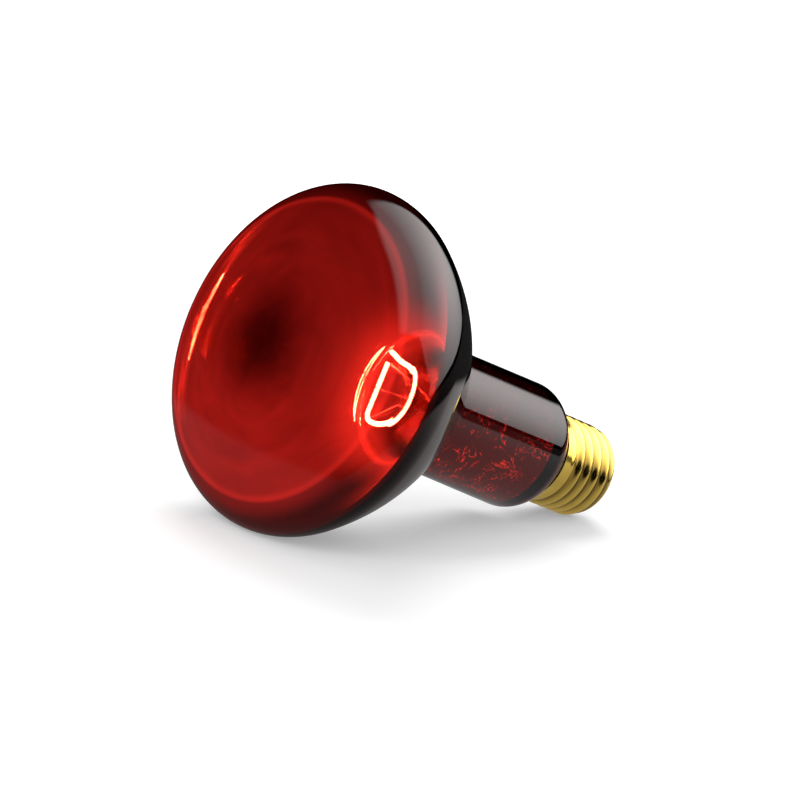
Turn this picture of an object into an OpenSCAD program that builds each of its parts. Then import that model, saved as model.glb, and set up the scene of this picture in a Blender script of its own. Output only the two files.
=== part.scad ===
// Infrared heat therapy lamp: a ruby glass reflector bulb on an E27 screw cap.
// The bulb is built upright on its own axis, from the contact (z = 0) to the
// face, and laid down at the end, as it lies on a table: on its rim and its cap.

/* [Bulb] */
// Length from the contact to the middle of the face
overall_length = 133.6; // [128:0.2:140]
// Largest diameter, at the rim of the bowl
bulb_d = 95; // [88:0.5:100]
// Thickness of the blown glass
wall = 0.9; // [0.6:0.1:1.2]
// Radius of the gentle dome of the face
face_r = 108; // [90:1:150]
// Radius of the rim in front of the largest diameter
rim_front_r = 8; // [5:0.5:10]
// Radius of the rim behind the largest diameter
rim_back_r = 12; // [9:0.5:15]
// Turn of that rim before the bowl begins
rim_back_turn = 26; // [22:1:30]
// Radius of the bowl's long curve
bowl_r = 82; // [75:1:90]
// Radius of the hollow curve from the bowl into the neck
throat_r = 7.5; // [5:0.5:10]

/* [Neck] */
// Radius of the neck at the bowl
neck_r = 17.4; // [16:0.1:19]
// Radius of the neck at its shoulder
shoulder_neck_r = 17.9; // [17:0.1:19.5]
// Height at which the neck starts to round into its shoulder
shoulder_z = 35; // [33:0.5:38]
// Radius of the shoulder
shoulder_r = 6; // [5:0.5:7]
// Turn of the shoulder towards the cap
shoulder_turn = 75; // [70:1:80]
// Outer radius of the glass inside the cap
seal_r = 10.8; // [10.4:0.1:11.2]
// Height of the glass's end inside the cap
seal_z = 14; // [12:0.5:16]

/* [Mirror] */
// Thickness of the aluminium layer inside the bowl
coat_t = 0.12; // [0.08:0.02:0.2]
// How far the layer reaches past the largest diameter
coat_front = 1.5; // [0:0.5:3]
// How far the layer starts above the throat's lower end
coat_back = 1; // [0:0.5:3]

/* [Screw cap] */
// Thread diameter over the crests
thread_d = 26.3; // [26:0.05:26.5]
// Depth of the rolled thread
thread_depth = 1; // [0.8:0.05:1.1]
// Pitch of the thread
thread_pitch = 3.629; // [3.4:0.001:3.8]
// Height of the lower edge of the shell
shell_z = 4.5; // [4:0.1:5]
// Height of the lowest full crest on the table's side
first_crest_z = 7.6; // [7.2:0.1:8]
// Height at which the thread has faded out at the top
thread_top_z = 23.4; // [22:0.1:24]
// Height of the flared lip
lip_z = 27; // [26:0.1:28]
// Radius of the flared lip
lip_r = 13.5; // [13.2:0.1:13.9]
// Length of the lip's flare
lip_h = 1.4; // [1:0.1:2]
// Thickness of the brass sheet
sheet = 0.3; // [0.2:0.05:0.4]
// Radius of the shell's rolled lower edge
edge_r = 1; // [0.8:0.1:1.2]
// Width of the edge turned in under the insulator
edge_lip = 0.5; // [0.3:0.1:0.7]

/* [Contact] */
// Radius of the centre contact
contact_r = 4.75; // [4.4:0.05:5]
// Thickness of the centre contact
contact_t = 0.5; // [0.4:0.1:0.8]
// Height of the solder on the contact
solder_h = 0.7; // [0.5:0.1:0.9]
// Radius of the flat on that solder
solder_flat_r = 3; // [2.6:0.1:3.4]
// Height of the insulator inside the shell
insulator_h = 3; // [2:0.5:4]
// Height of the cement ring
cement_h = 8; // [6:0.5:9]
// Radius of the solder on the lip
side_solder_r = 1.5; // [1.2:0.1:1.8]

/* [Stem] */
// Outer radius of the stem tube
stem_r = 6; // [5.5:0.1:6.5]
// Wall of the stem tube and its flare
stem_wall = 1; // [0.8:0.1:1.1]
// Height at which the tube is closed by the press
press_z = 28; // [26:0.5:30]
// Height of the press
press_h = 12; // [10:0.5:14]
// Thickness of the press
press_t = 5; // [4.5:0.1:6]
// Thickness of the press's round base
press_base = 1.5; // [1:0.1:2]
// Radius of the exhaust tube
exhaust_r = 2; // [1.6:0.1:2.2]
// Bore radius of the exhaust tube
exhaust_bore_r = 1.2; // [0.8:0.1:1.3]
// Length of the exhaust tube below the press
exhaust_l = 13; // [10:0.5:15]
// Radius of the glass rod
rod_r = 1.5; // [1.2:0.1:1.8]
// Radius of the glass button on the rod
button_r = 2.4; // [2.1:0.1:2.8]
// How far the button's centre lies under the filament
button_drop = 9; // [7:0.5:11]

/* [Heat shield] */
// Height of the heat shield in the neck
shield_z = 44; // [43:0.5:48]
// Thickness of the heat shield
shield_t = 0.4; // [0.3:0.1:0.6]
// Room between the shield and the neck
shield_room = 1.3; // [1:0.1:2]
// Height of the collar that carries the shield
collar_h = 2; // [1.5:0.1:2.5]
// Wall of that collar
collar_wall = 0.8; // [0.6:0.1:1]

/* [Wires] */
// Distance of each lead from the axis in the press
lead_offset = 3.5; // [3.2:0.1:3.8]
// Radius of the inner leads
lead_r = 0.4; // [0.3:0.05:0.5]
// Radius of the wires sealed in the press
seal_wire_r = 0.3; // [0.2:0.05:0.35]
// Radius of the outer leads
outer_lead_r = 0.25; // [0.2:0.05:0.3]
// Length over which the inner leads spread to the filament
lead_spread = 17; // [14:0.5:20]
// Radius of the fuse's glass sleeve
fuse_r = 1.1; // [0.9:0.05:1.2]
// Length of the fuse
fuse_l = 7; // [5:0.5:8]
// How far the fuse hangs under the press
fuse_drop = 3; // [2:0.5:4]
// How far under the glass's end the centre lead turns to the axis
join_drop = 4; // [3:0.5:5]
// Radius of the filament supports
support_r = 0.18; // [0.16:0.02:0.24]
// Radius of the finer wire in a support's loop
loop_r = 0.12; // [0.08:0.01:0.14]

/* [Filament] */
// Height of the filament
filament_z = 87.5; // [86:0.5:90]
// Radius of the filament's ring round the axis
filament_r = 10; // [9:0.5:10.5]
// Radius of the coil, to the middle of its wire
coil_r = 0.55; // [0.45:0.05:0.6]
// Radius of the coil's wire
coil_wire_r = 0.08; // [0.06:0.01:0.1]
// Number of curls
curls = 54; // [40:2:60]

/* [Hidden] */
$fn = 72;

// Clearance between pieces that are fused, cemented or pressed together
seat = 0.02;
// Clearance of a wire in a hole that it passes through
wire_room = 0.6;
// Clearance of a hook's loop round the coil
hook_room = 0.1;
// Reach of the coil's rounding at a corner
corner_ease = 2;
// Swelling of a wire where it is bent
bend_swell = 1.15;
// Curve steps: the profile's arcs, and the screw cap's levels and sides
arc_step = 3;
levels_per_turn = 6;
shell_sides = 32;
// Rings in a curl and sides on its wire
curl_rings = 8;
wire_sides = 4;

// ---- Glass profile: centres and turns of its arcs, in radius and height ----
bulb_r = bulb_d / 2;
dome_reach = sqrt(pow(face_r - rim_front_r, 2) - pow(bulb_r - rim_front_r, 2));
dome_z = overall_length - face_r;
rim_z = dome_z + dome_reach;
front_turn = atan2(dome_reach, bulb_r - rim_front_r);
bowl_c = [
    bulb_r - rim_back_r - (bowl_r - rim_back_r) * cos(rim_back_turn),
    rim_z + (bowl_r - rim_back_r) * sin(rim_back_turn)
];
bowl_turn = acos((neck_r + throat_r - bowl_c[0]) / (bowl_r + throat_r));
throat_z = bowl_c[1] - (bowl_r + throat_r) * sin(bowl_turn);
shoulder_c = [shoulder_neck_r - shoulder_r, shoulder_z];
shoulder_end_r = shoulder_c[0] + shoulder_r * cos(shoulder_turn);
foot_r = (shoulder_end_r - seal_r) / (1 - cos(shoulder_turn));
foot_c = [
    shoulder_c[0] + (shoulder_r + foot_r) * cos(shoulder_turn),
    shoulder_c[1] - (shoulder_r + foot_r) * sin(shoulder_turn)
];

// ---- Screw cap ----
crest_r = thread_d / 2;
root_r = crest_r - thread_depth;
shell_bore_r = root_r - sheet;
contact_z = solder_h;
insulator_z = contact_z + contact_t;
level_h = thread_pitch / levels_per_turn;

// ---- Stem ----
press_top = press_z + press_h;
button_z = filament_z - button_drop;
rod_in_button = sqrt(pow(button_r, 2) - pow(rod_r, 2));
fuse_top = press_z - fuse_drop;
join_z = seal_z - join_drop;
lead_turn = 118;
solder_side = 90;

// ---- Filament: [angle, share of its radius] of its ends and hooks ----
coil_start = [26, 1.1];
hooks = [[-2, 0.8], [-39, 0.94], [-90, 0.86], [-203, 0.99]];
coil_end = [28, 0.84];
chord_hook_share = 0.52;
hook_r = coil_r + coil_wire_r + hook_room + loop_r;

// ---- Lying on the table: on the rim's back curve and on the lowest crest ----
rim_c = [bulb_r - rim_back_r, rim_z];
prop = [rim_c[0] - crest_r, rim_c[1] - first_crest_z];
tilt = atan2(prop[0], prop[1]) + asin(rim_back_r / norm(prop));
lift = rim_c[0] * cos(tilt) + rim_back_r - rim_c[1] * sin(tilt);
front_x = -(dome_z * cos(tilt) + face_r);
back_x = solder_flat_r * sin(tilt);

module laid() {
    translate([-(front_x + back_x) / 2, 0, lift])
        rotate([0, tilt - 90, 0])
            children();
}

function steps(turn) = max(3, ceil(abs(turn) / arc_step));

function arc(centre, r, from, to) =
    let (n = steps(to - from))
    [for (i = [0 : n])
        let (a = from + (to - from) * i / n)
        [centre[0] + r * cos(a), centre[1] + r * sin(a)]];

// Glass surface set in by d: the neck from its end in the cap, the bowl to the
// largest diameter, and the face to its middle
function neck_line(d) = concat(
    [[seal_r - d, seal_z]],
    arc(foot_c, foot_r + d, 180, 180 - shoulder_turn),
    arc(shoulder_c, shoulder_r - d, -shoulder_turn, 0),
    [[neck_r - d, throat_z]]
);
function bowl_line(d) = concat(
    arc([neck_r + throat_r, throat_z], throat_r + d, 180, 180 - bowl_turn),
    arc(bowl_c, bowl_r - d, -bowl_turn, -rim_back_turn),
    arc(rim_c, rim_back_r - d, -rim_back_turn, 0)
);
function face_line(d) = concat(
    arc([bulb_r - rim_front_r, rim_z], rim_front_r - d, 0, front_turn),
    arc([0, dome_z], face_r - d, front_turn, 90)
);

function reversed(list) = [for (i = [len(list) - 1 : -1 : 0]) list[i]];

function polar(p) = [p[1] * cos(p[0]), p[1] * sin(p[0])];

// ---- Glass: one blown piece, in three solids that meet edge to edge ----
module skin(outside, inside) {
    polygon(concat(outside, reversed(inside)));
}

module blown(outside, inside) {
    color("firebrick", 0.5)
        rotate_extrude()
            skin(outside, inside);
}

module glass_neck() {
    blown(neck_line(0), neck_line(wall));
}

module glass_bowl() {
    blown(bowl_line(0), bowl_line(wall));
}

module glass_face() {
    blown(face_line(0), face_line(wall));
}

module mirror_coating() {
    from_z = throat_z + coat_back;
    out = wall + seat;
    in = out + coat_t;
    color("silver")
        rotate_extrude()
            intersection() {
                skin(
                    concat(bowl_line(out), face_line(out)),
                    concat(bowl_line(in), face_line(in))
                );
                translate([0, from_z])
                    square([bulb_r, rim_z + coat_front - from_z]);
            }
}

// ---- Stem ----
// The tube opens out like a trumpet and meets the end of the envelope
module stem_flare() {
    bell_r = seal_r - stem_r;
    bell_c = [seal_r, seal_z + bell_r - stem_wall];
    color("lightcyan", 0.5)
        rotate_extrude()
            polygon(concat(
                arc(bell_c, bell_r, 270, 180),
                [[stem_r, press_z - seat], [stem_r - stem_wall, press_z - seat]],
                arc(bell_c, bell_r + stem_wall, 180, 270)
            ));
}

// A point beside the axis, on the line of the two leads
function lead_spot(side) = polar([lead_turn + (side > 0 ? 0 : 180), lead_offset]);

module at_leads() {
    for (side = [-1, 1])
        translate(lead_spot(side))
            children();
}

module stem_press() {
    width = 2 * (stem_r - press_t / 2);
    color("lightcyan", 0.5)
        difference() {
            union() {
                translate([0, 0, press_z])
                    cylinder(r = stem_r, h = press_base);
                translate([0, 0, press_z])
                    rotate(lead_turn) {
                        translate([-width / 2, -press_t / 2, 0])
                            cube([width, press_t, press_h]);
                        for (side = [-1, 1])
                            translate([side * width / 2, 0, 0])
                                cylinder(d = press_t, h = press_h);
                    }
            }
            at_leads()
                translate([0, 0, press_z - 1])
                    cylinder(r = seal_wire_r + seat, h = press_h + 2);
        }
}

module exhaust_tube() {
    tip_z = press_z - exhaust_l;
    color("lightcyan", 0.5)
        rotate_extrude()
            polygon(concat(
                [[exhaust_bore_r, press_z - seat]],
                [[exhaust_r, press_z - seat]],
                arc([0, tip_z + exhaust_r], exhaust_r, 0, -90),
                arc([0, tip_z + exhaust_r], exhaust_bore_r, -90, 0)
            ));
}

module stem_rod() {
    color("lightcyan", 0.5)
        translate([0, 0, press_top + seat])
            cylinder(r = rod_r, h = button_z - rod_in_button - press_top);
}

module rod_button() {
    color("lightcyan", 0.5)
        translate([0, 0, button_z])
            difference() {
                sphere(r = button_r);
                translate([0, 0, -button_drop])
                    cylinder(r = rod_r + seat, h = button_drop - rod_in_button + 2 * seat);
            }
}

// ---- Heat shield ----
module heat_shield() {
    neck_bore_r = neck_r - wall;
    color("gainsboro")
        translate([0, 0, shield_z])
            difference() {
                cylinder(r = neck_bore_r - shield_room, h = shield_t);
                translate([0, 0, -1])
                    cylinder(r = rod_r + seat, h = shield_t + 2);
                at_leads()
                    translate([0, 0, -1])
                        cylinder(r = lead_r + wire_room, h = shield_t + 2);
            }
}

module shield_collar() {
    color("gray")
        translate([0, 0, shield_z - seat - collar_h])
            difference() {
                cylinder(r = rod_r + collar_wall, h = collar_h);
                translate([0, 0, -1])
                    cylinder(r = rod_r + seat, h = collar_h + 2);
            }
}

// ---- Wires ----
// A round wire through a list of points
module wire(points, r) {
    for (i = [1 : len(points) - 1]) {
        run = points[i] - points[i - 1];
        translate(points[i - 1])
            rotate([0, acos(run[2] / norm(run)), atan2(run[1], run[0])])
                cylinder(r = r, h = norm(run));
        if (i < len(points) - 1)
            translate(points[i])
                sphere(r = r * bend_swell);
    }
}

function at_height(p, z) = [p[0], p[1], z];

// Each inner lead rises from the press and spreads to one end of the filament
module inner_lead(side, end) {
    tip = at_height(end, filament_z - coil_r - coil_wire_r - lead_r - seat);
    color("lightslategray")
        wire([
            at_height(lead_spot(side), press_top + seat),
            at_height(lead_spot(side), filament_z - lead_spread),
            tip
        ], lead_r);
}

module inner_lead_a() {
    inner_lead(1, coil_mid(0));
}

module inner_lead_b() {
    inner_lead(-1, coil_mid(coil_l));
}

module seal_wires() {
    color("peru")
        at_leads()
            translate([0, 0, press_z])
                cylinder(r = seal_wire_r, h = press_h);
}

// From the press past the fuse, then to the middle of the contact
module outer_lead_centre() {
    spot = lead_spot(1);
    color("peru") {
        wire([at_height(spot, press_z - seat), at_height(spot, fuse_top + seat)], outer_lead_r);
        wire([
            at_height(spot, fuse_top - fuse_l - seat),
            at_height(spot, join_z),
            [0, 0, join_z - lead_offset],
            [0, 0, contact_z + seat]
        ], outer_lead_r);
    }
}

module lead_fuse() {
    color("honeydew", 0.6)
        translate(at_height(lead_spot(1), fuse_top - fuse_l))
            cylinder(r = fuse_r, h = fuse_l);
}

// From the press down out of the stem, round the glass and over the lip
groove_r = (seal_r + shell_bore_r) / 2;
function side_lead_line() =
    let (
        spot = lead_spot(-1),
        low = seal_z - stem_wall - 4 * outer_lead_r,
        out = polar([solder_side, groove_r]),
        over = polar([solder_side, lip_r])
    )
    [
        at_height(spot, press_z - seat),
        at_height(spot, low),
        at_height(out, low),
        at_height(out, lip_z + outer_lead_r + seat),
        at_height(over, lip_z + outer_lead_r + seat)
    ];

module outer_lead_side() {
    color("peru")
        wire(side_lead_line(), outer_lead_r);
}

// ---- Filament ----
// Axis of the coil: curved runs from hook to hook, then a chord back
coil_runs = concat([coil_start], hooks);
run_steps = 8;
function on_ring(p) = polar([p[0], p[1] * filament_r]);
function polar_run(a, b) =
    [for (i = [0 : run_steps - 1]) on_ring(a + (b - a) * i / run_steps)];
coil_axis = concat(
    [for (k = [1 : len(coil_runs) - 1]) each polar_run(coil_runs[k - 1], coil_runs[k])],
    [on_ring(hooks[len(hooks) - 1]), on_ring(coil_end)]
);
function run_length(i) = i == 0 ? 0 : run_length(i - 1) + norm(coil_axis[i] - coil_axis[i - 1]);
coil_s = [for (i = [0 : len(coil_axis) - 1]) run_length(i)];
coil_l = coil_s[len(coil_s) - 1];
coil_x = [for (i = [0 : len(coil_axis) - 1]) [coil_s[i], coil_axis[i][0]]];
coil_y = [for (i = [0 : len(coil_axis) - 1]) [coil_s[i], coil_axis[i][1]]];
function coil_path(s) = [lookup(s, coil_x), lookup(s, coil_y), filament_z];
// The coil rounds its corners: each point is the middle of a short stretch
function coil_mid(s) =
    let (near = [for (k = [-2 : 2]) coil_path(s + k * corner_ease / 2)])
    (near[0] + near[1] + near[2] + near[3] + near[4]) / len(near);
function unit(v) = v / norm(v);
function coil_ahead(s) = unit(coil_mid(s + coil_r) - coil_mid(s - coil_r));
function coil_side(s) = let (t = coil_ahead(s)) [-t[1], t[0], 0];

// Middle of the wire, and its direction, at length s along the coil's axis
function curl_out(s) =
    let (a = 360 * curls * s / coil_l)
    cos(a) * coil_side(s) + sin(a) * [0, 0, 1];
function curl_mid(s) = coil_mid(s) + coil_r * curl_out(s);
function curl_ahead(s) =
    let (
        a = 360 * curls * s / coil_l,
        turn = coil_r * 2 * PI * curls / coil_l
    )
    unit(coil_ahead(s) + turn * (-sin(a) * coil_side(s) + cos(a) * [0, 0, 1]));

module filament() {
    turns = curls * curl_rings;
    rings = turns + 2;
    // The first and the last ring continue the wire straight for one diameter
    mids = [for (i = [-1 : turns + 1])
        let (
            s = coil_l * max(0, min(turns, i)) / turns,
            straight = i < 0 ? -1 : (i > turns ? 1 : 0)
        )
        curl_mid(s) + straight * 2 * coil_wire_r * curl_ahead(s)];
    points = [for (i = [0 : rings])
        let (
            s = coil_l * max(0, min(turns, i - 1)) / turns,
            u = curl_out(s),
            v = cross(curl_ahead(s), u)
        )
        for (k = [0 : wire_sides - 1])
            let (a = 360 * k / wire_sides)
            mids[i] + coil_wire_r * (cos(a) * u + sin(a) * v)];
    sides = [for (i = [0 : rings - 1])
        for (k = [0 : wire_sides - 1])
            let (
                a = i * wire_sides + k,
                b = i * wire_sides + (k + 1) % wire_sides
            )
            each [[a, a + wire_sides, b], [b, a + wire_sides, b + wire_sides]]];
    first = [for (k = [0 : wire_sides - 1]) k];
    last = [for (k = [wire_sides - 1 : -1 : 0]) rings * wire_sides + k];
    apart = min([for (i = [0 : rings])
        for (j = [i + curl_rings / 2 : rings])
            norm(mids[i] - mids[j])]) - 2 * coil_wire_r;
    echo(str("least gap of the filament to itself: ", apart, " mm"));
    color("gold")
        polyhedron(points = points, faces = concat([first], sides, [last]));
}

// Each support is a wire from the button to a small loop round the coil
chord_start = coil_s[len(coil_s) - 2];
hook_lengths = concat(
    [for (k = [1 : len(hooks)]) coil_s[k * run_steps]],
    [chord_start + (coil_l - chord_start) * chord_hook_share]
);

module filament_supports() {
    color("dimgray")
        for (s = hook_lengths) {
            middle = coil_mid(s);
            along = coil_ahead(s);
            foot = middle - [0, 0, hook_r];
            aim = unit(foot - [0, 0, button_z]);
            wire([[0, 0, button_z] + aim * (button_r + seat), foot], support_r);
            translate(middle)
                rotate([90, 0, atan2(along[1], along[0]) + 90])
                    rotate_extrude()
                        translate([hook_r, 0])
                            circle(r = loop_r, $fn = 16);
        }
}

// ---- Screw cap ----
function smooth(x) = let (t = max(0, min(1, x))) t * t * (3 - 2 * t);

// Share of the full thread at a height
function thread_share(z) =
    smooth((z - shell_z) / (first_crest_z - shell_z - level_h))
    * smooth((thread_top_z - z) / thread_pitch);

// Radius of the shell without its thread: rolled edge, barrel, flared lip
function barrel_r(z) =
    let (
        low = min(0, z - shell_z - edge_r),
        up = max(0, z - lip_z + lip_h) / lip_h
    )
    root_r - edge_r + sqrt(pow(edge_r, 2) - pow(low, 2)) + (lip_r - root_r) * smooth(up);

// The thread is right-handed, with a crest at first_crest_z on the table's side
function shell_r(a, z) =
    let (phase = 360 * (z - first_crest_z) / thread_pitch - (a - 180))
    barrel_r(z) + thread_depth * thread_share(z) * (1 + cos(phase)) / 2;

edge_levels = [for (a = [90 : -30 : 0]) shell_z + edge_r * (1 - sin(a))];
thread_levels = [for (z = [shell_z + edge_r + level_h : level_h : lip_z - lip_h - level_h]) z];
lip_levels = [for (i = [0 : 4]) lip_z - lip_h * (1 - i / 4)];
shell_levels = concat(edge_levels, thread_levels, lip_levels);

module cap_shell() {
    count = len(shell_levels);
    loop = 2 * count;
    points = [for (k = [0 : shell_sides - 1])
        let (a = 360 * k / shell_sides)
        for (i = [0 : loop - 1])
            let (
                z = i < count ? shell_levels[i] : shell_levels[loop - 1 - i],
                inside = z == shell_z ? edge_lip : sheet,
                r = shell_r(a, z) - (i < count ? 0 : inside)
            )
            [r * cos(a), r * sin(a), z]];
    faces = [for (k = [0 : shell_sides - 1])
        for (i = [0 : loop - 1])
            let (
                p = k * loop + i,
                q = k * loop + (i + 1) % loop,
                p2 = (p + loop) % (loop * shell_sides),
                q2 = (q + loop) % (loop * shell_sides)
            )
            each [[p, q, p2], [q, q2, p2]]];
    color("goldenrod")
        polyhedron(points = points, faces = faces);
}

module cap_insulator() {
    under_r = root_r - edge_r - edge_lip - seat;
    over_z = shell_z + edge_r;
    color("black")
        rotate_extrude()
            polygon([
                [outer_lead_r + wire_room, insulator_z],
                [contact_r, insulator_z],
                [under_r, shell_z],
                [under_r, over_z],
                [shell_bore_r - seat, over_z],
                [shell_bore_r - seat, over_z + insulator_h],
                [outer_lead_r + wire_room, over_z + insulator_h]
            ]);
}

module cap_cement() {
    color("tan")
        difference() {
            translate([0, 0, lip_z - lip_h - cement_h])
                rotate_extrude()
                    translate([seal_r + seat, 0])
                        square([shell_bore_r - seal_r - 2 * seat, cement_h]);
            wire(side_lead_line(), outer_lead_r + seat);
        }
}

module centre_contact() {
    color("goldenrod")
        translate([0, 0, contact_z])
            difference() {
                cylinder(r = contact_r, h = contact_t - seat);
                translate([0, 0, -1])
                    cylinder(r = outer_lead_r + seat, h = contact_t + 2);
            }
}

module centre_solder() {
    color("lightgray")
        rotate_extrude()
            polygon(concat(
                [[0, 0]],
                arc([solder_flat_r, solder_h], solder_h, 270, 360),
                [[0, solder_h]]
            ));
}

module side_solder() {
    color("lightgray")
        difference() {
            translate(at_height(polar([solder_side, lip_r]), lip_z + seat))
                sphere(r = side_solder_r);
            translate([0, 0, lip_z - side_solder_r])
                cylinder(r = lip_r + side_solder_r + 1, h = side_solder_r + seat);
            wire(side_lead_line(), outer_lead_r + seat);
        }
}

laid() glass_neck();
laid() glass_bowl();
laid() glass_face();
laid() mirror_coating();
laid() stem_flare();
laid() stem_press();
laid() exhaust_tube();
laid() stem_rod();
laid() rod_button();
laid() heat_shield();
laid() shield_collar();
laid() inner_lead_a();
laid() inner_lead_b();
laid() seal_wires();
laid() outer_lead_centre();
laid() outer_lead_side();
laid() lead_fuse();
laid() filament();
laid() filament_supports();
laid() cap_shell();
laid() cap_insulator();
laid() cap_cement();
laid() centre_contact();
laid() centre_solder();
laid() side_solder();
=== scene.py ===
"""Infrared heat therapy bulb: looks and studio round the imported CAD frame."""

import math

import bmesh
import bpy
from mathutils import Matrix, Vector


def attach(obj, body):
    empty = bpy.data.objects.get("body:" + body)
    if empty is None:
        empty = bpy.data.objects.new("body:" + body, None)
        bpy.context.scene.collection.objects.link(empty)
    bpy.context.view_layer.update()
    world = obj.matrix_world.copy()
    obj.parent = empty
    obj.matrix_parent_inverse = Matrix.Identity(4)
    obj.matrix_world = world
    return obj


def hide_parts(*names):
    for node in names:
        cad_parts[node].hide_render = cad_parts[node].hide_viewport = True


bl_info = {
    "name": "Infrared heat therapy bulb",
    "version": (1, 0, 0),
    "blender": (4, 5, 0),
    "location": "View3D > Sidebar > Heat Bulb",
    "description": "Builds a ruby glass reflector bulb, its screw cap and its studio",
    "category": "Add Mesh",
}

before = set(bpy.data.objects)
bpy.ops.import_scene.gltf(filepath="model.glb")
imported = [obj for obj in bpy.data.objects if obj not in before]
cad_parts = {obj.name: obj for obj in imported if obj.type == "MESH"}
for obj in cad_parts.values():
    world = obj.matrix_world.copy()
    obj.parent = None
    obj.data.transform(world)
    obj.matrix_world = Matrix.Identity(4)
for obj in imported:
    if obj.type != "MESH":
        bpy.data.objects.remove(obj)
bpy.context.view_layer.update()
BODY = "root"
MM = 0.001
SENSOR_WIDTH = 36
# The point that the camera looks at, in mm in the row's frame
CAMERA_AIM = (-13.9409, -1.25534, 34.35477)


# ---- Sizes and colours that a user would change ----
def length(name, mm, text):
    return bpy.props.FloatProperty(
        name=name, description=text, default=mm * MM, precision=5, unit="LENGTH"
    )


def turn(name, degrees, text):
    return bpy.props.FloatProperty(
        name=name, description=text, default=math.radians(degrees), unit="ROTATION"
    )


def number(name, value, text):
    return bpy.props.FloatProperty(name=name, description=text, default=value)


def count(name, value, text):
    return bpy.props.IntProperty(name=name, description=text, default=value, min=1)


def colour(name, rgb, text):
    return bpy.props.FloatVectorProperty(
        name=name, description=text, default=rgb, size=3, subtype="COLOR", min=0, max=1
    )


class GlassSettings(bpy.types.PropertyGroup):
    length: length("Length", 133.6, "From the contact to the middle of the face")
    diameter: length("Diameter", 95, "Largest diameter, at the rim")
    wall: length("Wall", 0.9, "Thickness of the blown glass")
    face_radius: length("Face radius", 108, "Radius of the dome of the face")
    rim_front: length("Front rim", 8, "Radius of the rim in front of the largest diameter")
    rim_back: length("Back rim", 12, "Radius of the rim behind the largest diameter")
    rim_turn: turn("Rim turn", 26, "Turn of the back rim before the bowl begins")
    bowl_radius: length("Bowl radius", 82, "Radius of the bowl's long curve")
    throat_radius: length("Throat radius", 7.5, "Radius of the hollow curve into the neck")
    neck_radius: length("Neck radius", 17.4, "Radius of the neck at the bowl")
    shoulder_neck_radius: length("Shoulder width", 17.9, "Radius of the neck at its shoulder")
    shoulder_height: length("Shoulder height", 35, "Height at which the neck rounds in")
    shoulder_radius: length("Shoulder radius", 6, "Radius of the shoulder")
    shoulder_turn: turn("Shoulder turn", 75, "Turn of the shoulder towards the cap")
    seal_radius: length("Seal radius", 10.8, "Outer radius of the glass inside the cap")
    seal_height: length("Seal height", 14, "Height of the glass's end inside the cap")
    sides: count("Sides", 256, "Sides of the blown glass and its mirror")
    arc_step: turn("Arc step", 1.5, "Turn between two rings of a curve")
    ruby: colour("Ruby", (0.075, 0.0022, 0.0016), "Light that one wall lets through")
    ruby_deep: colour("Deep ruby", (0.055, 0.0014, 0.001), "The same where the wall is thicker")
    # Painted light: the glow inside the face is emission painted into the glass, not light from the
    # filament.
    painted_glow: colour("Satin", (1, 0.03, 0.022), "Colour of the lit satin inside the face")
    painted_glow_level: number("Satin level", 0.18, "Brightness of that satin")


class MirrorSettings(bpy.types.PropertyGroup):
    thickness: length("Thickness", 0.12, "Thickness of the aluminium layer")
    front: length("Front", 1.5, "How far it reaches past the largest diameter")
    back: length("Back", 1, "How far it starts above the throat's lower end")
    seat: length("Seat", 0.02, "Clearance to the glass")
    aluminium: colour("Aluminium", (0.9, 0.89, 0.87), "Colour of the layer")
    film: colour("Film", (0.32, 0.31, 0.3), "Colour of the thinner film in the neck")
    # Painted light: the layer's haze is a glow painted on as emission near the filament, not lit by
    # it.
    painted_haze: number("Haze", 12.0, "Brightness of the layer's haze close to the filament")
    painted_haze_colour: colour("Haze colour", (1, 0.8, 0.55), "Colour of that haze")
    bowl_reach: length("Haze reach", 31, "Distance from the filament at which the haze ends")
    film_foot: length("Film foot", 38, "Height at which the film in the neck ends")
    film_reach: length("Film reach", 34, "Distance at which the film's haze ends")


class FilamentSettings(bpy.types.PropertyGroup):
    height: length("Height", 87.5, "Height of the filament above the contact")
    ring_radius: length("Ring radius", 10, "Radius of its ring round the axis")
    coil_radius: length("Coil radius", 0.55, "Radius of the coil to its wire")
    wire_radius: length("Wire radius", 0.08, "Radius of the coil's wire")
    curls: count("Curls", 150, "Turns of the coil")
    glow: colour("Glow", (1, 0.74, 0.44), "Colour of the hot wire")
    strength: number("Strength", 2500, "Brightness of the hot wire")


class CapSettings(bpy.types.PropertyGroup):
    thread_radius: length("Thread radius", 13.15, "Radius over the crests")
    thread_depth: length("Thread depth", 1, "Depth of the rolled thread")
    pitch: length("Pitch", 3.629, "Pitch of the thread")
    shell_height: length("Shell height", 4.5, "Height of the lower edge")
    first_crest: length("First crest", 7.6, "Height of the lowest full crest")
    thread_top: length("Thread top", 23.4, "Height at which the thread has faded")
    lip_height: length("Lip height", 27, "Height of the flared lip")
    lip_radius: length("Lip radius", 13.5, "Radius of the flared lip")
    lip_flare: length("Lip flare", 1.4, "Length of the flare")
    sheet: length("Sheet", 0.3, "Thickness of the brass sheet")
    edge_radius: length("Edge radius", 1, "Radius of the rolled lower edge")
    edge_lip: length("Edge lip", 0.5, "Width of the edge turned in")
    levels_per_turn: count("Levels", 28, "Rings in one turn of the thread")
    sides: count("Sides", 160, "Sides of the shell")
    brass: colour("Brass", (0.86, 0.59, 0.12), "Colour of the bright brass")
    brass_worn: colour("Aged brass", (0.55, 0.36, 0.07), "Colour where the brass has tarnished")
    # Painted shade: the brass is darkened at the thread's root, where shade falls.
    painted_groove_shade: colour("Groove", (0.2, 0.13, 0.03), "Colour of the brass at the thread's root")


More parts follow.
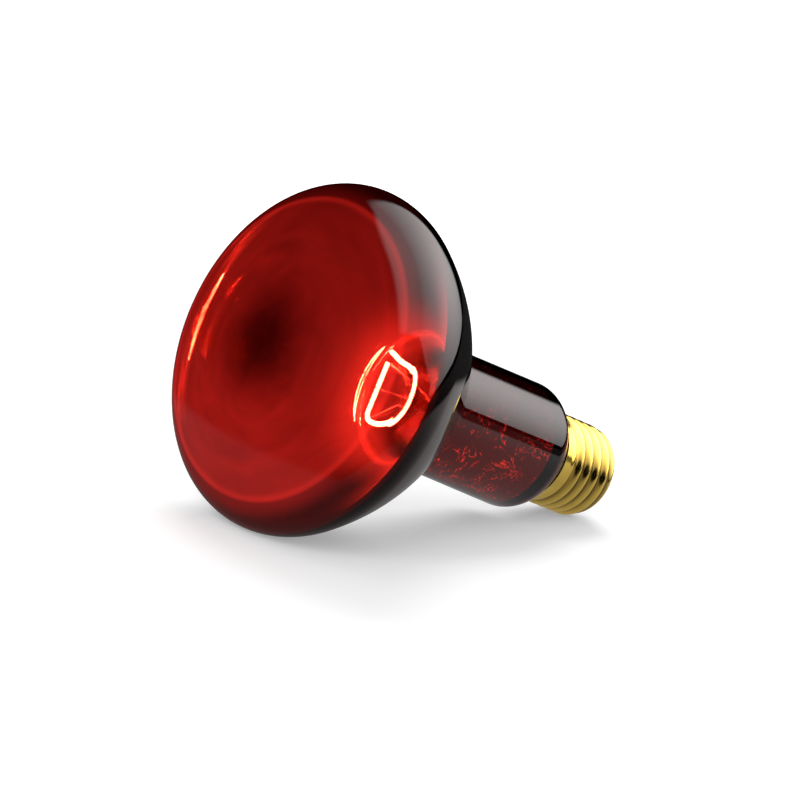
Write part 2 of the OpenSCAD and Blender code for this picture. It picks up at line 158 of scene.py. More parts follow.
class StudioSettings(bpy.types.PropertyGroup):
    azimuth: turn("Azimuth", -44.12477, "Side from which the camera looks")
    elevation: turn("Elevation", 12, "Height of the camera over the horizon")
    roll: turn("Roll", 9.8396, "Turn of the camera about its own line of sight")
    distance: length("Distance", 1100, "From the camera to the point it looks at")
    focal: number("Focal length", 186.5052, "In millimetres on a 36 mm frame")
    tent: number("Tent", 1.0, "Brightness of the white tent in reflections")
    floor_tone: number("Floor tone", 0.8, "Share of light that the floor gives back")


# ---- The bulb's own frame: z = 0 at the contact, the face at the top ----
def bulb_centres(glass):
    """Centres, turns and heights of the arcs of the glass, as the CAD works them out."""
    r = glass.diameter / 2
    c = {}
    reach = math.sqrt((glass.face_radius - glass.rim_front) ** 2 - (r - glass.rim_front) ** 2)
    c["dome_z"] = glass.length - glass.face_radius
    c["rim_z"] = c["dome_z"] + reach
    c["front_turn"] = math.atan2(reach, r - glass.rim_front)
    span = glass.bowl_radius - glass.rim_back
    c["bowl"] = (
        r - glass.rim_back - span * math.cos(glass.rim_turn),
        c["rim_z"] + span * math.sin(glass.rim_turn),
    )
    hollow = glass.bowl_radius + glass.throat_radius
    c["bowl_turn"] = math.acos((glass.neck_radius + glass.throat_radius - c["bowl"][0]) / hollow)
    c["throat"] = (
        glass.neck_radius + glass.throat_radius,
        c["bowl"][1] - hollow * math.sin(c["bowl_turn"]),
    )
    c["shoulder"] = (glass.shoulder_neck_radius - glass.shoulder_radius, glass.shoulder_height)
    bend = glass.shoulder_turn
    end = c["shoulder"][0] + glass.shoulder_radius * math.cos(bend)
    c["foot_radius"] = (end - glass.seal_radius) / (1 - math.cos(bend))
    both = glass.shoulder_radius + c["foot_radius"]
    c["foot"] = (
        c["shoulder"][0] + both * math.cos(bend),
        c["shoulder"][1] - both * math.sin(bend),
    )
    c["rim_back"] = (r - glass.rim_back, c["rim_z"])
    c["rim_front"] = (r - glass.rim_front, c["rim_z"])
    return c


def lying(settings):
    """Matrix that lays the upright bulb on its rim and its lowest thread crest."""
    glass, cap = settings.glass, settings.cap
    c = bulb_centres(glass)
    run = c["rim_back"][0] - cap.thread_radius
    rise = c["rim_back"][1] - cap.first_crest
    tilt = math.atan2(run, rise) + math.asin(glass.rim_back / math.hypot(run, rise))
    lift = (
        c["rim_back"][0] * math.cos(tilt) + glass.rim_back - c["rim_back"][1] * math.sin(tilt)
    )
    front = -(c["dome_z"] * math.cos(tilt) + glass.face_radius)
    solder_flat = 3 * MM
    back = solder_flat * math.sin(tilt)
    shift = Matrix.Translation((-(front + back) / 2, 0, lift))
    return shift @ Matrix.Rotation(tilt - math.pi / 2, 4, "Y")


# ---- Mesh making ----
def arc(centre, radius, start, end, step):
    """Points of an arc from start to end, with a turn of at most step between two."""
    n = max(3, math.ceil(abs(end - start) / step))
    angles = [start + (end - start) * i / n for i in range(n + 1)]
    return [(centre[0] + radius * math.cos(a), centre[1] + radius * math.sin(a)) for a in angles]


def without_repeats(line):
    shortest = 1e-6
    kept = [line[0]]
    for p in line[1:]:
        if math.dist(p, kept[-1]) > shortest:
            kept.append(p)
    return kept


def glass_line(glass, inset, first=0):
    """The glass surface set in by inset, from its first run of points to the face's middle."""
    c, step, half = bulb_centres(glass), glass.arc_step, math.pi
    runs = [
        [(glass.seal_radius - inset, glass.seal_height)],
        arc(c["foot"], c["foot_radius"] + inset, half, half - glass.shoulder_turn, step * 6),
        arc(c["shoulder"], glass.shoulder_radius - inset, -glass.shoulder_turn, 0, step * 3),
        arc(c["throat"], glass.throat_radius + inset, half, half - c["bowl_turn"], step * 2),
        arc(c["bowl"], glass.bowl_radius - inset, -c["bowl_turn"], -glass.rim_turn, step / 2),
        arc(c["rim_back"], glass.rim_back - inset, -glass.rim_turn, 0, step * 1.5),
        arc(c["rim_front"], glass.rim_front - inset, 0, c["front_turn"], step * 2),
        arc((0, c["dome_z"]), glass.face_radius - inset, c["front_turn"], half / 2, step / 2),
    ]
    return without_repeats([p for run in runs[first:] for p in run])


def mesh_object(name, bm, place, sharp=40):
    """Ends a bmesh made in the bulb's own frame as a smooth object in its place."""
    bmesh.ops.recalc_face_normals(bm, faces=bm.faces)
    mesh = bpy.data.meshes.new(name)
    bm.to_mesh(mesh)
    bm.free()
    mesh.shade_smooth()
    mesh.set_sharp_from_angle(angle=math.radians(sharp))
    mesh.transform(place)
    piece = bpy.data.objects.new(name, mesh)
    bpy.context.scene.collection.objects.link(piece)
    return piece


def spun(name, line, sides, place):
    """A closed line of (radius, height) points spun round the bulb's axis."""
    bm = bmesh.new()
    tiny = 1e-7
    rings = []
    for r, z in line:
        if r < tiny:
            rings.append([bm.verts.new((0, 0, z))])
        else:
            rings.append([
                bm.verts.new((
                    r * math.cos(2 * math.pi * k / sides),
                    r * math.sin(2 * math.pi * k / sides),
                    z,
                ))
                for k in range(sides)
            ])
    for a, b in zip(rings, rings[1:] + rings[:1]):
        for k in range(sides):
            j = (k + 1) % sides
            corners = [a[k % len(a)], a[j % len(a)], b[j % len(b)], b[k % len(b)]]
            face = list(dict.fromkeys(corners))
            if len(face) > 2:
                bm.faces.new(face)
    return mesh_object(name, bm, place)


def tube(name, middles, outs, radius, sides, place):
    """A round wire through middles, its sections turned so that outs are their first axis."""
    bm = bmesh.new()
    rings = []
    for i, (middle, out) in enumerate(zip(middles, outs)):
        ahead = middles[min(i + 1, len(middles) - 1)] - middles[max(i - 1, 0)]
        side = ahead.normalized().cross(out).normalized()
        rings.append([
            bm.verts.new(
                middle
                + radius * (math.cos(2 * math.pi * k / sides) * out
                            + math.sin(2 * math.pi * k / sides) * side)
            )
            for k in range(sides)
        ])
    for a, b in zip(rings, rings[1:]):
        for k in range(sides):
            j = (k + 1) % sides
            bm.faces.new((a[k], a[j], b[j], b[k]))
    bm.faces.new(rings[0])
    bm.faces.new(rings[-1])
    return mesh_object(name, bm, place, sharp=80)


# ---- Shader building ----
class Shader:
    """A material's node tree, with short ways to add and join nodes."""

    def __init__(self, tree):
        self.tree = tree

    def node(self, kind, inputs=None, **settings):
        made = self.tree.nodes.new(kind)
        for key, value in settings.items():
            setattr(made, key, value)
        for key, value in (inputs or {}).items():
            socket = made.inputs[key]
            if isinstance(value, bpy.types.NodeSocket):
                self.tree.links.new(value, socket)
            else:
                socket.default_value = value
        return made

    def math(self, operation, a, b=0.0, c=0.0):
        made = self.node("ShaderNodeMath", {0: a, 1: b, 2: c}, operation=operation)
        return made.outputs[0]

    def mix(self, share, a, b):
        made = self.node("ShaderNodeMix", data_type="RGBA")
        for socket, value in ((made.inputs[0], share), (made.inputs[6], a), (made.inputs[7], b)):
            if isinstance(value, bpy.types.NodeSocket):
                self.tree.links.new(value, socket)
            else:
                socket.default_value = value
        return made.outputs[2]

    def spread(self, value, low, high, to_low=0.0, to_high=1.0, kind="SMOOTHSTEP"):
        made = self.node(
            "ShaderNodeMapRange",
            {"Value": value, "From Min": low, "From Max": high,
             "To Min": to_low, "To Max": to_high},
            interpolation_type=kind,
        )
        return made.outputs[0]

    def noise(self, where, scale, detail=3.0, roughness=0.5, distortion=0.0):
        made = self.node(
            "ShaderNodeTexNoise",
            {"Vector": where, "Scale": scale, "Detail": detail,
             "Roughness": roughness, "Distortion": distortion},
        )
        return made.outputs["Fac"]


def rgba(rgb):
    return (*rgb, 1.0)


def material(name):
    """A new material, its shader helper and its Principled BSDF."""
    made = bpy.data.materials.new(name)
    made.use_nodes = True
    shader = Shader(made.node_tree)
    surface = made.node_tree.nodes["Principled BSDF"]
    return made, shader, surface


def group(name, inputs, outputs):
    """A new shader group with named inputs and outputs, and its two end nodes."""
    tree = bpy.data.node_groups.new(name, "ShaderNodeTree")
    for label, kind, value in inputs:
        socket = tree.interface.new_socket(name=label, in_out="INPUT", socket_type=kind)
        if value is not None:
            socket.default_value = value
    for label, kind in outputs:
        tree.interface.new_socket(name=label, in_out="OUTPUT", socket_type=kind)
    shader = Shader(tree)
    return tree, shader, shader.node("NodeGroupInput"), shader.node("NodeGroupOutput")


def handling_group():
    """Faint smudges on glass: a roughness."""
    tree, shader, given, result = group(
        "handling",
        [("Base Roughness", "NodeSocketFloat", 0.02), ("Smudge", "NodeSocketFloat", 0.05),
         ("Size", "NodeSocketFloat", 40.0)],
        [("Roughness", "NodeSocketFloat")],
    )
    where = shader.node("ShaderNodeTexCoord").outputs["Object"]
    cloud = shader.noise(where, given.outputs["Size"], 4, 0.6, 0.4)
    patch = shader.spread(cloud, 0.5, 0.75)
    rough = shader.math("MULTIPLY_ADD", patch, given.outputs["Smudge"],
                        given.outputs["Base Roughness"])
    shader.tree.links.new(rough, result.inputs["Roughness"])
    return tree


def metal_group():
    """Drawn or rolled metal: fine grain, tarnish colour, roughness and height."""
    tree, shader, given, result = group(
        "worked metal",
        [("Bright", "NodeSocketColor", None), ("Tarnished", "NodeSocketColor", None),
         ("Tarnish", "NodeSocketFloat", 0.4), ("Grain Size", "NodeSocketFloat", 900.0),
         ("Base Roughness", "NodeSocketFloat", 0.2), ("Grain Roughness", "NodeSocketFloat", 0.1)],
        [("Color", "NodeSocketColor"), ("Roughness", "NodeSocketFloat"),
         ("Height", "NodeSocketFloat")],
    )
    where = shader.node("ShaderNodeTexCoord").outputs["Object"]
    grain = shader.noise(where, given.outputs["Grain Size"], 2, 0.6)
    cloud = shader.noise(where, 160.0, 4, 0.62, 0.6)
    stain = shader.math("MULTIPLY", shader.spread(cloud, 0.42, 0.72), given.outputs["Tarnish"])
    tone = shader.mix(stain, given.outputs["Bright"], given.outputs["Tarnished"])
    rough = shader.math("MULTIPLY_ADD", grain, given.outputs["Grain Roughness"],
                        given.outputs["Base Roughness"])
    rough = shader.math("MULTIPLY_ADD", stain, 0.15, rough)
    shader.tree.links.new(tone, result.inputs["Color"])
    shader.tree.links.new(rough, result.inputs["Roughness"])
    shader.tree.links.new(grain, result.inputs["Height"])
    return tree


def use_group(shader, tree, inputs):
    made = shader.node("ShaderNodeGroup", node_tree=tree)
    for key, value in inputs.items():
        if isinstance(value, bpy.types.NodeSocket):
            shader.tree.links.new(value, made.inputs[key])
        else:
            made.inputs[key].default_value = value
    return made


def shared(name, build):
    return bpy.data.node_groups.get(name) or build()


def bump(shader, surface, height, strength, distance):
    made = shader.node(
        "ShaderNodeBump", {"Height": height, "Strength": strength, "Distance": distance}
    )
    shader.tree.links.new(made.outputs["Normal"], surface.inputs["Normal"])


def metal(
    name, bright, tarnished, tarnish=0.4, grain=900.0, base=0.2, spread=0.1, depth=0.01,
    painted_shade=None, dark=None,
):
    """Worked metal, with its grain depth in mm. Where a given mask of painted shade is 1 it takes
    the dark colour.
    """
    made, shader, surface = material(name)
    painted_shade_tone = shader.mix(painted_shade(shader), rgba(bright), rgba(dark)) if painted_shade else rgba(bright)
    worked = use_group(shader, shared("worked metal", metal_group), {
        "Bright": painted_shade_tone, "Tarnished": rgba(tarnished), "Tarnish": tarnish,
        "Grain Size": grain, "Base Roughness": base, "Grain Roughness": spread,
    })
    shader.tree.links.new(worked.outputs["Color"], surface.inputs["Base Color"])
    shader.tree.links.new(worked.outputs["Roughness"], surface.inputs["Roughness"])
    surface.inputs["Metallic"].default_value = 1.0
    bump(shader, surface, worked.outputs["Height"], 0.2, depth * MM)
    return made


def in_bulb(shader, place):
    """Where a point lies in the bulb's own frame: its vector and three coordinates."""
    where = shader.node("ShaderNodeTexCoord").outputs["Object"]
    back = place.inverted()
    turned = shader.node(
        "ShaderNodeMapping",
        {"Vector": where, "Location": back.translation, "Rotation": back.to_euler()},
        vector_type="POINT",
    ).outputs[0]
    return turned, shader.node("ShaderNodeSeparateXYZ", {0: turned}).outputs


def length_of(shader, vector):
    made = shader.node("ShaderNodeVectorMath", {0: vector}, operation="LENGTH")
    return made.outputs["Value"]


def less(shader, vector, point):
    made = shader.node("ShaderNodeVectorMath", {0: vector, 1: point}, operation="SUBTRACT")
    return made.outputs[0]


def smudged(shader, surface, base, smudge, size):
    """Gives clear or coloured glass its smudges and lets light through it."""
    handled = use_group(shader, shared("handling", handling_group), {
        "Base Roughness": base, "Smudge": smudge, "Size": size,
    })
    shader.tree.links.new(handled.outputs["Roughness"], surface.inputs["Roughness"])
    surface.inputs["Transmission Weight"].default_value = 1.0
    surface.inputs["IOR"].default_value = 1.5


def painted_glow_light(shader, x, y, z):
    """How brightly the painted glow inside the face shines at each point, painted in place of the
    filament's light.
    """
    # Painted shade: a dark spot round the pupil, where the painted glow is dimmer.
    pupil = (0, 4 * MM, 0)
    pupil_from, pupil_to, pupil_level = 2 * MM, 23 * MM, 0.12
    edge_middle, edge = (0, 2 * MM, 0), 41.2 * MM
    painted_rim_line_inset, painted_rim_line_sharpness, painted_rim_line_level = 0.7 * MM, 1200.0, 0.6
    face_from, face_to = 117.5 * MM, 119 * MM
    # Painted light: the glow grows brighter towards one side of the face.
    left_gain = -9.0
    flat = shader.node("ShaderNodeCombineXYZ", {0: x, 1: y}).outputs[0]
    side = shader.node("ShaderNodeVectorMath", {0: flat}, operation="NORMALIZE").outputs[0]
    side = shader.node("ShaderNodeSeparateXYZ", {0: side}).outputs
    rings = shader.node("ShaderNodeCombineXYZ", {
        0: shader.math("MULTIPLY", side[0], 0.9), 1: shader.math("MULTIPLY", side[1], 0.9),
        2: shader.math("MULTIPLY", length_of(shader, flat), 100.0),
    }).outputs[0]
    # Painted streaks of light across the glow.
    painted_streak_noise = shader.noise(rings, 1.0, 3, 0.55, 0.9)
    centre = length_of(shader, less(shader, flat, pupil))
    level = shader.spread(centre, pupil_from, pupil_to, pupil_level, 1.0)
    streaks = shader.spread(painted_streak_noise, 0.25, 0.75, 0.75, 1.3, "LINEAR")
    level = shader.math("MULTIPLY", level, streaks)
    level = shader.math("MULTIPLY", level, shader.math("MULTIPLY_ADD", x, left_gain, 1.0))
    # The painted glow ends in a brighter painted line just inside the rim, and fades beyond it
    out = length_of(shader, less(shader, flat, edge_middle))
    off = shader.math("SUBTRACT", out, edge - painted_rim_line_inset)
    painted_rim_line = shader.math("MULTIPLY", off, painted_rim_line_sharpness)
    painted_rim_line = shader.math("MULTIPLY", shader.math("MULTIPLY", painted_rim_line, painted_rim_line), -1.0)
    level = shader.math("MULTIPLY_ADD", shader.math("EXPONENT", painted_rim_line), painted_rim_line_level, level)
    for start, end, left_over in (
        (edge - 0.3 * MM, edge + 0.5 * MM, 0.5),
        (edge + 0.5 * MM, edge + 5 * MM, 0.2),
    ):
        level = shader.math("MULTIPLY", level, shader.spread(out, start, end, 1.0, left_over))
    return shader.math("MULTIPLY", level, shader.spread(z, face_from, face_to))


def glow(made, shader, surface, level, tone, strength):
    """Lets a surface shine by level in one colour, without sampling it as a lamp."""
    lit = shader.mix(level, (0, 0, 0, 1), rgba(tone))
    shader.tree.links.new(lit, surface.inputs["Emission Color"])
    surface.inputs["Emission Strength"].default_value = strength
    made.cycles.emission_sampling = "NONE"


def ruby_glass(settings):
    """Ruby glass, clear but for a painted glow inside the face."""
    glass = settings.glass
    made, shader, surface = material("blown_ruby")
    where, (x, y, z) = in_bulb(shader, lying(settings))
    flow = shader.noise(where, 22.0, 2, 0.5, 0.8)
    tone = shader.mix(shader.spread(flow, 0.35, 0.7), rgba(glass.ruby), rgba(glass.ruby_deep))
    shader.tree.links.new(tone, surface.inputs["Base Color"])
    smudged(shader, surface, 0.0, 0.02, 45.0)
    bump(shader, surface, flow, 0.25, 0.15 * MM)
    # Painted light: the face's glow is emission laid into the glass.
    level = shader.math("MULTIPLY", painted_glow_light(shader, x, y, z), glass.painted_glow_level)
    glow(made, shader, surface, level, glass.painted_glow, 1.0)
    return made


def clear_glass(name, tint, base=0.0):
    made, shader, surface = material(name)
    where = shader.node("ShaderNodeTexCoord").outputs["Object"]
    flow = shader.noise(where, 180.0, 2, 0.5, 1.2)
    deep = [0.82 * t for t in tint]
    tone = shader.mix(shader.spread(flow, 0.4, 0.7), rgba(tint), rgba(deep))
    shader.tree.links.new(tone, surface.inputs["Base Color"])
    smudged(shader, surface, base, 0.05, 120.0)
    bump(shader, surface, flow, 0.3, 0.2 * MM)
    return made


def mirror_layer(name, settings, bright, reach, ripples, rough, painted_through_light=None):
    """Aluminium whose inner side has a painted glow near the filament.

    Where the given mask of painted light gives more than 0, painted light shows on the outer side.
    """
    mirror, full_painted_haze = settings.mirror, 14 * MM
    made, shader, surface = material(name)
    where, (x, _, _) = in_bulb(shader, lying(settings))
    ripple = shader.noise(where, 55.0, 2, 0.45, 1.5)
    cloud = shader.noise(where, 30.0, 3, 0.6, 0.7)
    dull = [0.8 * t for t in bright]
    tone = shader.mix(shader.spread(cloud, 0.35, 0.75), rgba(bright), rgba(dull))
    shader.tree.links.new(tone, surface.inputs["Base Color"])
    shader.tree.links.new(shader.spread(cloud, 0.3, 0.7, *rough), surface.inputs["Roughness"])
    surface.inputs["Metallic"].default_value = 1.0
    bump(shader, surface, ripple, ripples, 0.5 * MM)
    # Painted light: the inner side glows as emission nearer the filament, and the outer side by a
    # given mask of painted light.
    hot = lying(settings) @ Vector((0, 0, settings.filament.height))
    place = shader.node("ShaderNodeTexCoord").outputs["Object"]
    towards = less(shader, place, hot)
    normal = shader.node("ShaderNodeNewGeometry").outputs["Normal"]
    facing = shader.node(
        "ShaderNodeVectorMath", {0: normal, 1: towards}, operation="DOT_PRODUCT"
    ).outputs["Value"]
    inner = shader.math("LESS_THAN", facing, 0.0)
    near = shader.spread(length_of(shader, towards), reach, full_painted_haze)
    level = shader.math("MULTIPLY", inner, shader.math("POWER", near, 2.0))
    if painted_through_light:
        outer = shader.math("SUBTRACT", 1.0, inner)
        level = shader.math("MULTIPLY_ADD", outer, painted_through_light(shader, where, x), level)
    glow(made, shader, surface, level, mirror.painted_haze_colour, mirror.painted_haze)
    return made


def painted_film_lines(shader, where, x):
    """Painted lines of light in patches of a thin film over a faint painted glow, both fainter on
    its upper side.
    """
    line_level, film_level = 0.8, 0.07
    upper, lower, upper_level = 8 * MM, -4 * MM, 0.15
    patches = shader.spread(shader.noise(where, 110.0, 2, 0.5, 1.0), 0.46, 0.56)
    lines = shader.noise(where, 150.0, 2, 0.45, 2.6)
    off = shader.math("ABSOLUTE", shader.math("SUBTRACT", lines, 0.5))
    line = shader.math("MULTIPLY", shader.spread(off, 0.02, 0.004), patches)
    painted_through_light = shader.math("MULTIPLY_ADD", line, line_level, film_level)
    return shader.math("MULTIPLY", painted_through_light, shader.spread(x, upper, lower, upper_level, 1.0))


def bowl_aluminium(settings):
    mirror = settings.mirror
    return mirror_layer(
        "bowl_aluminium", settings, mirror.aluminium, mirror.bowl_reach, 0.12, (0.02, 0.05)
    )


def neck_film(settings):
    mirror = settings.mirror
    return mirror_layer(
        "neck_film", settings, mirror.film, mirror.film_reach, 0.3, (0.18, 0.26), painted_film_lines
    )


def hot_tungsten(filament):
    """The glowing wire, a little cooler in places."""
    made, shader, surface = material("hot_wire")
    where = shader.node("ShaderNodeTexCoord").outputs["Object"]
    heat = shader.noise(where, 900.0, 2, 0.5)
    cooler = [filament.glow[0], filament.glow[1] * 0.85, filament.glow[2] * 0.75]
    tone = shader.mix(shader.spread(heat, 0.35, 0.65), rgba(filament.glow), rgba(cooler))
    shader.tree.links.new(tone, surface.inputs["Emission Color"])
    surface.inputs["Emission Strength"].default_value = filament.strength
    surface.inputs["Base Color"].default_value = (0.25, 0.24, 0.23, 1)
    surface.inputs["Metallic"].default_value = 1.0
    surface.inputs["Roughness"].default_value = 0.5
    return made


def matt(name, light, dark, size, base, depth, coat=0.0):
    """A rough or glossy solid with clouded colour and a fine relief."""
    made, shader, surface = material(name)
    where = shader.node("ShaderNodeTexCoord").outputs["Object"]
    cloud = shader.noise(where, size, 5, 0.65, 0.3)
    tone = shader.mix(shader.spread(cloud, 0.35, 0.65), rgba(dark), rgba(light))
    shader.tree.links.new(tone, surface.inputs["Base Color"])
    rough = shader.spread(cloud, 0.3, 0.7, base * 0.8, min(1.0, base * 1.2))
    shader.tree.links.new(rough, surface.inputs["Roughness"])
    surface.inputs["Coat Weight"].default_value = coat
    bump(shader, surface, cloud, 0.5, depth * MM)
    return made


def finish_nodes(made, slot_name, *nodes):
    """Gives a material to CAD nodes that stay in view."""
    for node in nodes:
        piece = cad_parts[node]
        piece.data.materials.clear()
        piece.data.materials.append(made)


def finish_piece(piece, made, slot_name, *nodes):
    """Gives a new piece its material, puts it on the body, and hides the CAD nodes that it stands
    for.
    """
    piece.data.materials.append(made)
    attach(piece, BODY)
    if nodes:
        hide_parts(*nodes)


# ---- Operators: one for each piece or group of like pieces ----
class HEATBULB_OT_glass(bpy.types.Operator):
    """Blows the ruby glass: neck, bowl and face in one wall"""

    bl_idname = "heatbulb.glass"
    bl_label = "Ruby Glass"

    def execute(self, context):
        settings = context.scene.heat_bulb
        glass = settings.glass
        line = glass_line(glass, 0) + glass_line(glass, glass.wall)[::-1]
        piece = spun("ruby_envelope", line, glass.sides, lying(settings))
        finish_piece(
            piece, ruby_glass(settings), "ruby_glass", "glass_neck", "glass_bowl", "glass_face"
        )
        return {"FINISHED"}


class HEATBULB_OT_mirror(bpy.types.Operator):
    """Lays the aluminium mirror inside the bowl and the thin film inside the neck"""

    bl_idname = "heatbulb.mirror"
    bl_label = "Mirror Layer"

    def execute(self, context):
        settings = context.scene.heat_bulb
        glass, mirror = settings.glass, settings.mirror
        c = bulb_centres(glass)
        foot, top = c["throat"][1] + mirror.back, c["rim_z"] + mirror.front
        inset, gap = glass.wall + mirror.seat, 0.05 * MM

        def layer(name, low, high):
            """The coat between two heights, which follows the glass."""

            def part(depth):
                whole = glass_line(glass, depth, first=2)
                kept = []
                for p, q in zip(whole, whole[1:]):
                    for edge in (low, high):
                        if p[1] < edge < q[1]:
                            share = (edge - p[1]) / (q[1] - p[1])
                            kept.append((p[0] + share * (q[0] - p[0]), edge))
                    if low < q[1] < high:
                        kept.append(q)
                return kept

            line = part(inset) + part(inset + mirror.thickness)[::-1]
            return spun(name, line, glass.sides, lying(settings))

        piece = layer("bowl_mirror", foot, top)
        finish_piece(piece, bowl_aluminium(settings), "mirror_layer", "mirror_coating")
        piece = layer("neck_film", mirror.film_foot, foot - gap)
        finish_piece(piece, neck_film(settings), "mirror_layer")
        return {"FINISHED"}


class HEATBULB_OT_filament(bpy.types.Operator):
    """Winds the hot coil from hook to hook in its D shape"""

    bl_idname = "heatbulb.filament"
    bl_label = "Filament"

    def execute(self, context):
        settings = context.scene.heat_bulb
        f = settings.filament
        # Corners of the D: the angle in degrees, and the share of the ring radius
        start, end = (26, 1.1), (28, 0.84)
        hooks = [(-2, 0.8), (-39, 0.94), (-90, 0.86), (-203, 0.99)]
        run_steps, ease = 8, 1 * MM

        def spot(angle, share):
            a = math.radians(angle)
            return Vector((math.cos(a), math.sin(a), 0)) * share * f.ring_radius

        stops = [start] + hooks
        axis = []
        for (a0, s0), (a1, s1) in zip(stops, stops[1:]):
            for i in range(run_steps):
                t = i / run_steps
                axis.append(spot(a0 + (a1 - a0) * t, s0 + (s1 - s0) * t))
        axis += [spot(*hooks[-1]), spot(*end)]
        lengths = [0.0]
        for p, q in zip(axis, axis[1:]):
            lengths.append(lengths[-1] + (q - p).length)
        total = lengths[-1]

        def path(s):
            s = min(max(s, 0.0), total)
            i = max(k for k in range(len(lengths) - 1) if lengths[k] <= s)
            t = (s - lengths[i]) / (lengths[i + 1] - lengths[i])
            return axis[i].lerp(axis[i + 1], t) + Vector((0, 0, f.height))

        def middle(s):
            near = [path(s + k * ease) for k in range(-2, 3)]
            return sum(near, Vector()) / len(near)

        rings_per_curl, wire_sides = 14, 6
        rings = f.curls * rings_per_curl
        middles, outs = [], []
        for i in range(rings + 1):
            s = total * i / rings
            ahead = (middle(s + f.coil_radius) - middle(s - f.coil_radius)).normalized()
            side = Vector((-ahead.y, ahead.x, 0))
            a = 2 * math.pi * i / rings_per_curl
            out = math.cos(a) * side + math.sin(a) * Vector((0, 0, 1))
            middles.append(middle(s) + f.coil_radius * out)
            outs.append(out)
        piece = tube("hot_coil", middles, outs, f.wire_radius, wire_sides, lying(settings))
        piece.visible_diffuse = False
        finish_piece(piece, hot_tungsten(f), "hot_tungsten", "filament")
        return {"FINISHED"}


class HEATBULB_OT_screw_shell(bpy.types.Operator):
    """Rolls the brass shell with its round thread and flared lip"""

    bl_idname = "heatbulb.screw_shell"
    bl_label = "Screw Shell"

    def execute(self, context):
        settings = context.scene.heat_bulb
        cap = settings.cap
        root = cap.thread_radius - cap.thread_depth
        # The thread is full this far below its first crest
        full_run = cap.pitch / 6

        def smooth(x):
            t = min(1.0, max(0.0, x))
            return t * t * (3 - 2 * t)

        def radius(a, z):
            low = min(0.0, z - cap.shell_height - cap.edge_radius)
            up = max(0.0, z - cap.lip_height + cap.lip_flare) / cap.lip_flare
            barrel = root - cap.edge_radius + math.sqrt(max(0.0, cap.edge_radius**2 - low**2))
            barrel += (cap.lip_radius - root) * smooth(up)
            start = cap.first_crest - cap.shell_height - full_run
            share = smooth((z - cap.shell_height) / start)
            share *= smooth((cap.thread_top - z) / cap.pitch)
            phase = 2 * math.pi * (z - cap.first_crest) / cap.pitch - (a - math.pi)
            return barrel + cap.thread_depth * share * (1 + math.cos(phase)) / 2

        edge_steps = 8
        levels = [
            cap.shell_height + cap.edge_radius * (1 - math.cos(math.pi / 2 * i / edge_steps))
            for i in range(edge_steps)
        ]
        z = cap.shell_height + cap.edge_radius
        step = cap.pitch / cap.levels_per_turn
        while z < cap.lip_height - step / 2:
            levels.append(z)
            z += step
        levels.append(cap.lip_height)
        bm = bmesh.new()
        columns = []
        for k in range(cap.sides):
            a = 2 * math.pi * k / cap.sides
            outside = [(radius(a, z), z) for z in levels]
            inside = [
                (r - (cap.edge_lip if z == levels[0] else cap.sheet), z) for r, z in outside
            ][::-1]
            columns.append([
                bm.verts.new((r * math.cos(a), r * math.sin(a), z)) for r, z in outside + inside
            ])
        for k in range(cap.sides):
            a, b = columns[k], columns[(k + 1) % cap.sides]
            for i in range(len(a)):
                j = (i + 1) % len(a)
                bm.faces.new((a[i], b[i], b[j], a[j]))
        piece = mesh_object("screw_shell", bm, lying(settings), sharp=50)

        def grooves(shader):
            """Mask of a painted shade: 1 at the root of the thread, 0 on its crest and off the
            thread.
            """
            _, (x, y, z) = in_bulb(shader, lying(settings))
            rise = 2 * math.pi / cap.pitch
            phase = shader.math("MULTIPLY_ADD", z, rise, math.pi - rise * cap.first_crest)
            phase = shader.math("SUBTRACT", phase, shader.math("ARCTAN2", y, x))
            groove = shader.math("MULTIPLY_ADD", shader.math("COSINE", phase), -0.5, 0.5)
            fade = shader.spread(z, cap.thread_top, cap.thread_top - cap.pitch)
            return shader.math("MULTIPLY", shader.math("POWER", groove, 2.0), fade)

        # Painted shade: the thread's roots are darkened.
        brass = metal(
            "rolled_brass", cap.brass, cap.brass_worn, tarnish=0.35, grain=1400.0,
            base=0.11, spread=0.06, painted_shade=grooves, dark=cap.painted_groove_shade,
        )
        finish_piece(piece, brass, "brass", "cap_shell")
        return {"FINISHED"}


class HEATBULB_OT_cap_fittings(bpy.types.Operator):
    """Finishes the insulator, cement, contact and solder of the cap"""

    bl_idname = "heatbulb.cap_fittings"
    bl_label = "Cap Fittings"

    def execute(self, context):
        cap = context.scene.heat_bulb.cap
        brass = metal("contact_brass", cap.brass, cap.brass_worn, grain=1200.0, base=0.2)
        finish_nodes(brass, "brass", "centre_contact")
        black = matt(
            "insulator_glass", (0.02, 0.02, 0.024), (0.009, 0.009, 0.011), 140.0, 0.14, 0.03,
            coat=0.4,
        )
        finish_nodes(black, "black_glass", "cap_insulator")
        cement = matt("baked_cement", (0.5, 0.44, 0.36), (0.33, 0.28, 0.22), 700.0, 0.85, 0.2)
        finish_nodes(cement, "cement", "cap_cement")
        solder = metal(
            "soft_solder", (0.72, 0.73, 0.75), (0.45, 0.45, 0.46), tarnish=0.5, grain=500.0,
            base=0.24, spread=0.18, depth=0.06,
        )
        finish_nodes(solder, "solder", "centre_solder", "side_solder")
        return {"FINISHED"}


